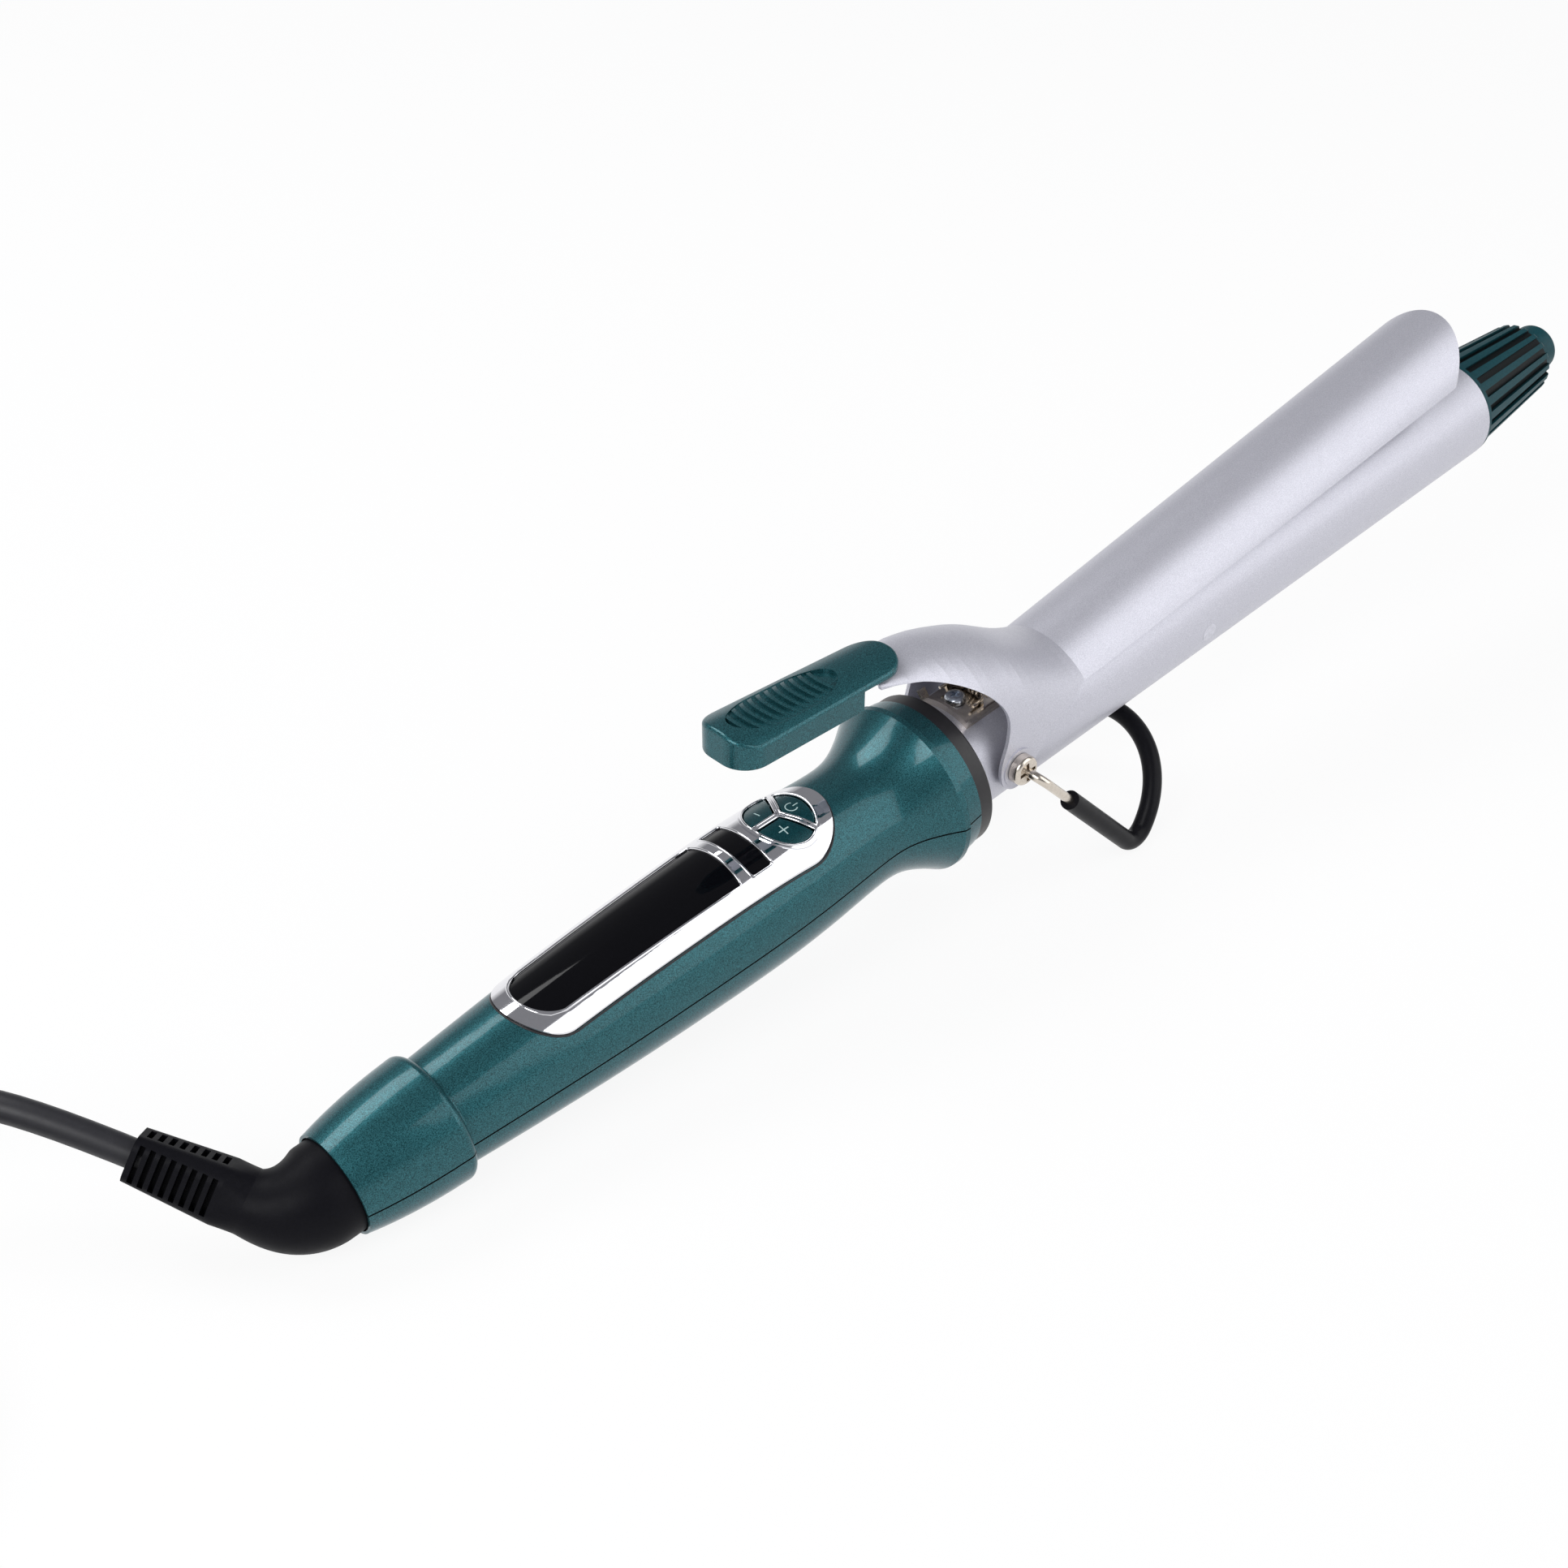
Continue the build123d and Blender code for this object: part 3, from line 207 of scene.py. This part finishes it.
def span(tree, value, low, high):
    """A value stretched from 0..1 to a range."""
    node = tree.nodes.new("ShaderNodeMapRange")
    node.inputs["To Min"].default_value = low
    node.inputs["To Max"].default_value = high
    tree.links.new(value, node.inputs["Value"])
    return node.outputs["Result"]


def bump(tree, shader, value, strength):
    """Surface relief from a value."""
    node = tree.nodes.new("ShaderNodeBump")
    node.inputs["Strength"].default_value = strength
    node.inputs["Distance"].default_value = RELIEF_DEPTH
    tree.links.new(value, node.inputs["Height"])
    tree.links.new(node.outputs["Normal"], shader.inputs["Normal"])


def iron_place(tree):
    """Coordinates in the iron's frame, in metres, as separate x, y and z."""
    place = tree.nodes.new("ShaderNodeTexCoord")
    mapping = tree.nodes.new("ShaderNodeMapping")
    back = IRON.inverted()
    mapping.inputs["Location"].default_value = back.to_translation()
    mapping.inputs["Rotation"].default_value = back.to_euler("XYZ")
    split = tree.nodes.new("ShaderNodeSeparateXYZ")
    tree.links.new(place.outputs["Object"], mapping.inputs["Vector"])
    tree.links.new(mapping.outputs["Vector"], split.inputs[0])
    return split.outputs


def calculate(tree, operation, first, second=0.0):
    """Result of one sum on numbers or links."""
    node = tree.nodes.new("ShaderNodeMath")
    node.operation = operation
    for socket, value in zip(node.inputs, (first, second)):
        if isinstance(value, (int, float)):
            socket.default_value = value
        else:
            tree.links.new(value, socket)
    return node.outputs[0]


def paint_shade(tree, depth, low, high, dark):
    """Paint shade: blend the base colour to a dark colour where a depth value falls from high to low."""
    shader = tree.nodes["Principled BSDF"]
    mix = tree.nodes.new("ShaderNodeMix")
    mix.data_type = "RGBA"
    spread = tree.nodes.new("ShaderNodeMapRange")
    spread.inputs["From Min"].default_value = low
    spread.inputs["From Max"].default_value = high
    tree.links.new(depth, spread.inputs["Value"])
    tree.links.new(spread.outputs["Result"], mix.inputs["Factor"])
    colour = shader.inputs["Base Color"].links[0].from_socket
    mix.inputs["A"].default_value = (*dark, 1)
    tree.links.new(colour, mix.inputs["B"])
    tree.links.new(mix.outputs["Result"], shader.inputs["Base Color"])


def pearl(name, dark, light, metallic, rough, coat, gloss=0.5, edge=(1, 1, 1)):
    """Pearl lacquer: fine flakes of two tones under a clear coat."""
    material, tree, shader = new_material(name)
    flakes = noise(tree, FLAKE_SCALE, 1, 0.6)
    tree.links.new(ramp(tree, flakes, 0.36, 0.66, (dark, light)), shader.inputs["Base Color"])
    sheen = span(tree, noise(tree, SHEEN_SCALE, 3), rough - 0.05, rough + 0.06)
    tree.links.new(sheen, shader.inputs["Roughness"])
    shader.inputs["Metallic"].default_value = metallic
    shader.inputs["Specular IOR Level"].default_value = gloss
    shader.inputs["Specular Tint"].default_value = (*edge, 1)
    shader.inputs["Coat Weight"].default_value = coat
    shader.inputs["Coat IOR"].default_value = COAT_IOR
    shader.inputs["Coat Roughness"].default_value = COAT_ROUGH
    bump(tree, shader, flakes, 0.12)
    return material


def plain(name, colour, rough, metallic=0.0, grain=1500, relief=0.05, spread=0.12, gloss=0.5):
    """Moulded or plated surface with fine grain in its colour, gloss and relief."""
    material, tree, shader = new_material(name)
    grains = noise(tree, grain, 3)
    low = tuple(c * (1 - spread) for c in colour)
    high = tuple(min(1, c * (1 + spread)) for c in colour)
    tree.links.new(ramp(tree, grains, 0.3, 0.7, (low, high)), shader.inputs["Base Color"])
    sheen = span(tree, noise(tree, grain * GRAIN_SHEEN, 2), rough * 0.8, rough * 1.2)
    tree.links.new(sheen, shader.inputs["Roughness"])
    shader.inputs["Metallic"].default_value = metallic
    shader.inputs["Specular IOR Level"].default_value = gloss
    bump(tree, shader, grains, relief)
    return material


TEAL = dict(dark=(0.006, 0.047, 0.055), light=(0.034, 0.148, 0.172), metallic=0.6, rough=0.36, coat=0.7, gloss=0.3,
            edge=(0.25, 0.4, 0.45))
PEARLS = {
    "pearl_teal": TEAL,
    # the handle shells' teal, with painted shade along the parting line
    "pearl_teal_seam_shade": TEAL,
    "key_teal": dict(dark=(0.001, 0.030, 0.037), light=(0.007, 0.070, 0.083), metallic=0.4, rough=0.30, coat=0.35,
                     gloss=0.3),
    "satin_silver": dict(dark=(0.50, 0.50, 0.562), light=(0.62, 0.62, 0.682), metallic=0.60, rough=0.44, coat=0.05),
}
PLAINS = {
    "teal_nylon": dict(colour=(0.004, 0.047, 0.059), rough=0.40, gloss=0.18),
    "pale_dot": dict(colour=(0.60, 0.60, 0.66), rough=0.5),
    "icon_line": dict(colour=(0.36, 0.50, 0.50), rough=0.5),
    "black_nylon": dict(colour=(0.016, 0.015, 0.017), rough=0.40, gloss=0.4),
    "chrome": dict(colour=(0.80, 0.80, 0.83), rough=0.06, metallic=1.0, relief=0.0, spread=0.02),
    "black_gloss": dict(colour=(0.002, 0.002, 0.003), rough=0.05, relief=0.0, gloss=0.18),
    "nickel": dict(colour=(0.64, 0.58, 0.51), rough=0.22, metallic=1.0, relief=0.03, spread=0.06),
    "zinc": dict(colour=(0.60, 0.64, 0.70), rough=0.24, metallic=1.0, relief=0.06),
    "sleeve_rubber": dict(colour=(0.006, 0.006, 0.008), rough=0.36, relief=0.06, gloss=0.10),
    "boot_rubber": dict(colour=(0.004, 0.004, 0.006), rough=0.48, relief=0.10, gloss=0.08),
    "cord_rubber": dict(colour=(0.012, 0.012, 0.016), rough=0.48, relief=0.10, gloss=0.4),
    "tie": dict(colour=(0.02, 0.02, 0.02), rough=0.6),
    "aluminium": dict(colour=(0.7, 0.7, 0.72), rough=0.4, metallic=1.0),
    "ceramic": dict(colour=(0.8, 0.78, 0.72), rough=0.6),
    "lead_sleeve": dict(colour=(0.7, 0.7, 0.68), rough=0.6),
    "board": dict(colour=(0.02, 0.16, 0.05), rough=0.5),
    "brass": dict(colour=(0.7, 0.5, 0.2), rough=0.3, metallic=1.0),
}
MATERIALS = {name: pearl(name, **look) for name, look in PEARLS.items()}
MATERIALS.update({name: plain(name, **look) for name, look in PLAINS.items()})


def paint_seam_shade(tree):
    """Painted shade: black base colour along the parting line on the handle's sides, standing in for shade in its
    groove.
    """
    height = calculate(tree, "ABSOLUTE", iron_place(tree)["Z"])
    paint_shade(tree, height, SEAM_HALF, SEAM_HALF * SEAM_FADE, SEAM_SHADE_COLOUR)


def paint_cap_shade(tree):
    """Painted shade: near-black base colour on the ground between the tip cap's ribs, as far as the ribs go,
    standing in for shade in the grooves.
    """
    x, y, z = iron_place(tree)
    squares = calculate(tree, "ADD", calculate(tree, "MULTIPLY", y, y), calculate(tree, "MULTIPLY", z, z))
    radius = calculate(tree, "SQRT", squares)
    taper = calculate(tree, "MULTIPLY", calculate(tree, "SUBTRACT", x, CAP_START), CAP_SLOPE)
    past_ribs = calculate(tree, "GREATER_THAN", x, CAP_RIBS_END)
    depth = calculate(tree, "ADD", radius, taper)
    depth = calculate(tree, "ADD", depth, calculate(tree, "MULTIPLY", past_ribs, CAP_CLEAR))
    paint_shade(tree, depth, CAP_GROUND, CAP_GROUND + CAP_FADE, CAP_SHADE_COLOUR)


# The handle shells' teal gets painted shade along its parting line.
paint_seam_shade(MATERIALS["pearl_teal_seam_shade"].node_tree)
# The tip cap's nylon gets painted shade between its ribs.
paint_cap_shade(MATERIALS["teal_nylon"].node_tree)
# Handle shells take the teal with painted seam shade; other parts take their own slot.
for entry in frame["record"]["subparts"]:
    finish = "pearl_teal_seam_shade" if entry["node"].endswith("handle_shell") else entry["material_slot"]
    mesh = nodes[entry["node"]].data
    mesh.materials.clear()
    mesh.materials.append(MATERIALS[finish])


# Cord
def coil_point(start, plan, turns):
    """Point on the coil after a number of turns: spiral in, climb, spiral out."""
    left = Vector((-plan.y, plan.x, 0))
    outer = COIL_INNER + COIL_STEP * COIL_TURNS
    turning = COIL_TURNS + COIL_TURNBACK
    radius = outer - COIL_STEP * min(turns, turning) + COIL_STEP * max(turns - turning, 0)
    climb = min(max(turns - COIL_TURNS, 0), COIL_CLIMB) / COIL_CLIMB
    angle = 2 * pi * turns
    out = plan * sin(angle) - left * cos(angle)
    return start + left * outer + out * radius + Vector((0, 0, COIL_RISE * climb * climb * (3 - 2 * climb)))


def cord():
    """Cord from the strain relief to the plug as one smooth curve."""
    route = [Vector(point) for point in CORD_ROUTE]
    plan = (route[-1] - route[-2]).normalized()
    lead = route[-1] + plan * CORD_D
    steps = int(COIL_POINTS * COIL_END)
    coil = [coil_point(lead, plan, i / COIL_POINTS) for i in range(steps + 1)]
    end = coil_point(lead, plan, COIL_END)
    leaving = (end - coil_point(lead, plan, COIL_END - TANGENT_STEP)).normalized()
    points = route + coil + [end, end + leaving * CORD_TAIL]
    curve = bpy.data.curves.new("power_cord", "CURVE")
    curve.dimensions = "3D"
    curve.bevel_depth = CORD_D / 2 * MM
    curve.bevel_resolution = 6
    curve.use_fill_caps = True
    spline = curve.splines.new("NURBS")
    spline.points.add(len(points) - 1)
    for place, point in zip(spline.points, points):
        place.co = (*(point * MM), 1)
    spline.order_u = 3
    spline.use_endpoint_u = True
    spline.resolution_u = 6
    curve.materials.append(MATERIALS["cord_rubber"])
    obj = add_object("power_cord", curve)
    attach(obj, "cord_swivel")
    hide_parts("cord", "cord_coil")


cord()


# Marks on the keys
def cast(node, spot):
    """Ray from above a spot of the iron's plan down to a node: whether it hits, and where."""
    return nodes[node].ray_cast(IRON @ Vector((spot.x * MM, spot.y * MM, CAST_FROM * MM)), DOWN)[:2]


def key_mark(name, body, strokes):
    """Raised line mark on a key: each stroke is a list of places along its middle."""
    mesh = bmesh.new()
    for line in strokes:
        rings = []
        for i, place in enumerate(line):
            before, after = line[max(i - 1, 0)], line[min(i + 1, len(line) - 1)]
            step = (Vector(after) - Vector(before)).normalized()
            across = Vector((-step.y, step.x)) * MARK_WIDTH / 2
            ring = []
            for side, height in ((-1, 1), (1, 1), (1, -1), (-1, -1)):
                at = cast(body, Vector(place) + across * side)[1]
                ring.append(mesh.verts.new(at - DOWN * (height * MARK_PROUD * MM)))
            rings.append(ring)
        for first, second in zip(rings, rings[1:]):
            for k in range(4):
                mesh.faces.new((first[k], first[(k + 1) % 4], second[(k + 1) % 4], second[k]))
        mesh.faces.new(rings[0][::-1])
        mesh.faces.new(rings[-1])
    bmesh.ops.recalc_face_normals(mesh, faces=mesh.faces)
    data = bpy.data.meshes.new(name)
    mesh.to_mesh(data)
    mesh.free()
    data.materials.append(MATERIALS["icon_line"])
    obj = add_object(name, data)
    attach(obj, body)


def bar(centre, half_x, half_y):
    """Straight stroke about a centre."""
    x, y = centre
    return [(x + half_x * t, y + half_y * t) for t in (-1, -0.5, 0, 0.5, 1)]


def power_strokes():
    """Open ring and the short stroke in its gap."""
    x, y = POWER_AT
    angles = [POWER_GAP + (2 * pi - 2 * POWER_GAP) * i / POWER_STEPS for i in range(POWER_STEPS + 1)]
    ring = [(x + POWER_R * cos(a), y + POWER_R * sin(a)) for a in angles]
    return [ring, [(x + reach, y) for reach in POWER_STROKE]]


key_mark("plus_mark", "plus_button", [bar(PLUS_AT, MARK_HALF, 0), bar(PLUS_AT, 0, MARK_HALF)])
key_mark("minus_mark", "minus_button", [bar(MINUS_AT, 0, MINUS_HALF)])
key_mark("power_mark", "power_button", power_strokes())


# Chrome lips round the panel's windows and keys, and the dark seal round the bezel.
# Outlines run anticlockwise in the iron's plan.
def oval_end(angle, side):
    """Place where an edge of a key divider meets the cluster's oval, about the cluster's centre."""
    d = Vector((cos(angle), sin(angle)))
    foot = Vector((-d.y, d.x)) * side * DIVIDER_HALF
    a = (d.x / CLUSTER_A) ** 2 + (d.y / CLUSTER_B) ** 2
    b = d.x * foot.x / CLUSTER_A ** 2 + d.y * foot.y / CLUSTER_B ** 2
    c = (foot.x / CLUSTER_A) ** 2 + (foot.y / CLUSTER_B) ** 2 - 1
    return foot + d * (((b * b - a * c) ** 0.5 - b) / a)


def key_outline(first, second):
    """Outline of a key between two dividers at given directions."""
    start, end = radians(first), radians(second)
    half = (end - start) / 2
    corner = Vector((cos(start + half), sin(start + half))) * DIVIDER_HALF / sin(half)
    one, two = oval_end(start, 1), oval_end(end, -1)
    u1 = atan2(one.y / CLUSTER_B, one.x / CLUSTER_A)
    u2 = atan2(two.y / CLUSTER_B, two.x / CLUSTER_A)
    u2 += 2 * pi if u2 < u1 else 0
    arc = [u1 + (u2 - u1) * i / KEY_STEPS for i in range(KEY_STEPS + 1)]
    line = [corner.lerp(one, t) for t in (0, 0.25, 0.5, 0.75)]
    line += [Vector((CLUSTER_A * cos(u), CLUSTER_B * sin(u))) for u in arc]
    line += [two.lerp(corner, t) for t in (0.25, 0.5, 0.75)]
    return [(CLUSTER_X + p.x, p.y) for p in line]


def side_line(start, end, shares):
    """Places at given shares of the way between two points."""
    return [(start[0] + (end[0] - start[0]) * t, start[1] + (end[1] - start[1]) * t) for t in shares]


def mirrored(line):
    """A far side's line as the near side's."""
    return [(x, -y) for x, y in reversed(line)]


def window_outline(rear, front, half_rear, half_front, rear_bow, front_bow):
    """Outline of a lens window with bowed ends. A deep bow at the rear is round."""
    across = [i / WINDOW_STEPS for i in range(-WINDOW_STEPS, WINDOW_STEPS + 1)]
    far = side_line((front - front_bow, half_front), (rear + rear_bow, half_rear), (0.1, 0.3, 0.5, 0.7, 0.9))
    line = [(front - front_bow * t * t, half_front * t) for t in across] + far
    for t in reversed(across):
        bow = 1 - (1 - t * t) ** 0.5 if rear_bow > ROUND_BOW else t * t
        line.append((rear + rear_bow * bow, half_rear * t))
    return line + mirrored(far)


def bezel_outline():
    """Outline of the bezel: round nose, straight sides and an oval tail."""
    nose_x, tail_x = BEZEL_FRONT - BEZEL_HALF_FRONT, BEZEL_REAR + BEZEL_TAIL
    angles = [pi / 2 * i / BEZEL_ARC_STEPS for i in range(-BEZEL_ARC_STEPS, BEZEL_ARC_STEPS + 1)]
    shares = [i / BEZEL_SIDE_STEPS for i in range(1, BEZEL_SIDE_STEPS)]
    far = side_line((nose_x, BEZEL_HALF_FRONT), (tail_x, BEZEL_HALF_REAR), shares)
    nose = [(nose_x + BEZEL_HALF_FRONT * cos(a), BEZEL_HALF_FRONT * sin(a)) for a in angles]
    tail = [(tail_x - BEZEL_TAIL * cos(a), BEZEL_HALF_REAR * sin(a)) for a in reversed(angles)]
    return nose + far + tail + mirrored(far)


def bead(name, outline, node="bezel", slot="chrome", radius=0.3, out=0.22, sink=0.15):
    """Thin round bead that follows an outline just outside it, sunk in the surface of a node."""
    places = []
    for i, place in enumerate(outline):
        before, after = Vector(outline[i - 1]), Vector(outline[(i + 1) % len(outline)])
        step = (after - before).normalized()
        hit, at = cast(node, Vector(place) + Vector((step.y, -step.x)) * out)
        if hit:
            places.append(at + DOWN * sink * MM)
    curve = bpy.data.curves.new(name, "CURVE")
    curve.dimensions = "3D"
    curve.bevel_depth = radius * MM
    curve.bevel_resolution = 3
    spline = curve.splines.new("POLY")
    spline.points.add(len(places) - 1)
    for point, place in zip(spline.points, places):
        point.co = (*place, 1)
    spline.use_cyclic_u = True
    spline.use_smooth = True
    curve.materials.append(MATERIALS[slot])
    obj = add_object(name, curve)
    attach(obj, "handle")


display = window_outline(rear=-105.6, front=-57.7, half_rear=6.7, half_front=7.6, rear_bow=5.5, front_bow=0.6)
indicator = window_outline(rear=-55.2, front=-50.3, half_rear=7.6, half_front=7.6, rear_bow=0, front_bow=0)
bead("display_lip", display)
bead("indicator_lip", indicator)
bead("power_lip", key_outline(-DIVIDER_ANGLE, DIVIDER_ANGLE))
bead("plus_lip", key_outline(-180, -DIVIDER_ANGLE))
bead("minus_lip", key_outline(DIVIDER_ANGLE, 180))
bead("bezel_seal", bezel_outline(), "upper_handle_shell", "black_nylon", radius=0.18, out=0.12, sink=0.03)


# Stage
def floor():
    """Pale floor that keeps a faint shadow and shows white to the camera and in reflections."""
    corners = [(x * FLOOR_HALF, y * FLOOR_HALF, 0) for x, y in ((-1, -1), (1, -1), (1, 1), (-1, 1))]
    mesh = bpy.data.meshes.new("floor")
    mesh.from_pydata(corners, [], [(0, 1, 2, 3)])
    material, tree, shader = new_material("floor")
    shader.inputs["Base Color"].default_value = FLOOR_COLOUR
    shader.inputs["Roughness"].default_value = FLOOR_ROUGH
    light_path = tree.nodes.new("ShaderNodeLightPath")
    white = tree.nodes.new("ShaderNodeEmission")
    mix = tree.nodes.new("ShaderNodeMixShader")
    seen = light_path.outputs["Is Camera Ray"]
    for kind in ("Is Glossy Ray", "Is Transmission Ray"):
        seen = calculate(tree, "MAXIMUM", seen, light_path.outputs[kind])
    tree.links.new(calculate(tree, "MULTIPLY", seen, FLOOR_WHITE), mix.inputs["Fac"])
    tree.links.new(shader.outputs[0], mix.inputs[1])
    tree.links.new(white.outputs[0], mix.inputs[2])
    tree.links.new(mix.outputs[0], tree.nodes["Material Output"].inputs["Surface"])
    mesh.materials.append(material)
    add_object("floor", mesh)


def world():
    """Studio surround: white backdrop near the horizon, dim above it."""
    surround = bpy.data.worlds.new("studio")
    bpy.context.scene.world = surround
    surround.use_nodes = True
    tree = surround.node_tree
    place = tree.nodes.new("ShaderNodeTexCoord")
    split = tree.nodes.new("ShaderNodeSeparateXYZ")
    tree.links.new(place.outputs["Generated"], split.inputs[0])
    colour = ramp(tree, split.outputs["Z"], BACKDROP_LOW, BACKDROP_HIGH, BACKDROP)
    tree.links.new(colour, tree.nodes["Background"].inputs["Color"])


def softbox(name, at, to, size, power):
    """Rectangular studio light, in metres and watts."""
    data = bpy.data.lights.new(name, "AREA")
    data.shape = "RECTANGLE"
    data.size, data.size_y = size
    data.energy = power
    obj = add_object(name, data)
    obj.location = at
    obj.rotation_euler = (Vector(to) - Vector(at)).to_track_quat("-Z", "Y").to_euler()


floor()
world()
softbox("key_light", at=(0.55, -0.84, 0.80), to=(0, 0, 0.05), size=(1.3, 1.3), power=9)
softbox("left_light", at=(-0.28, 0.70, 1.0), to=(-0.03, 0, 0.05), size=(0.7, 0.5), power=6)
softbox("rear_light", at=(-0.95, -0.20, 0.75), to=(-0.02, 0, 0.05), size=(0.6, 0.6), power=7)
bpy.context.scene.view_settings.view_transform = "Standard"
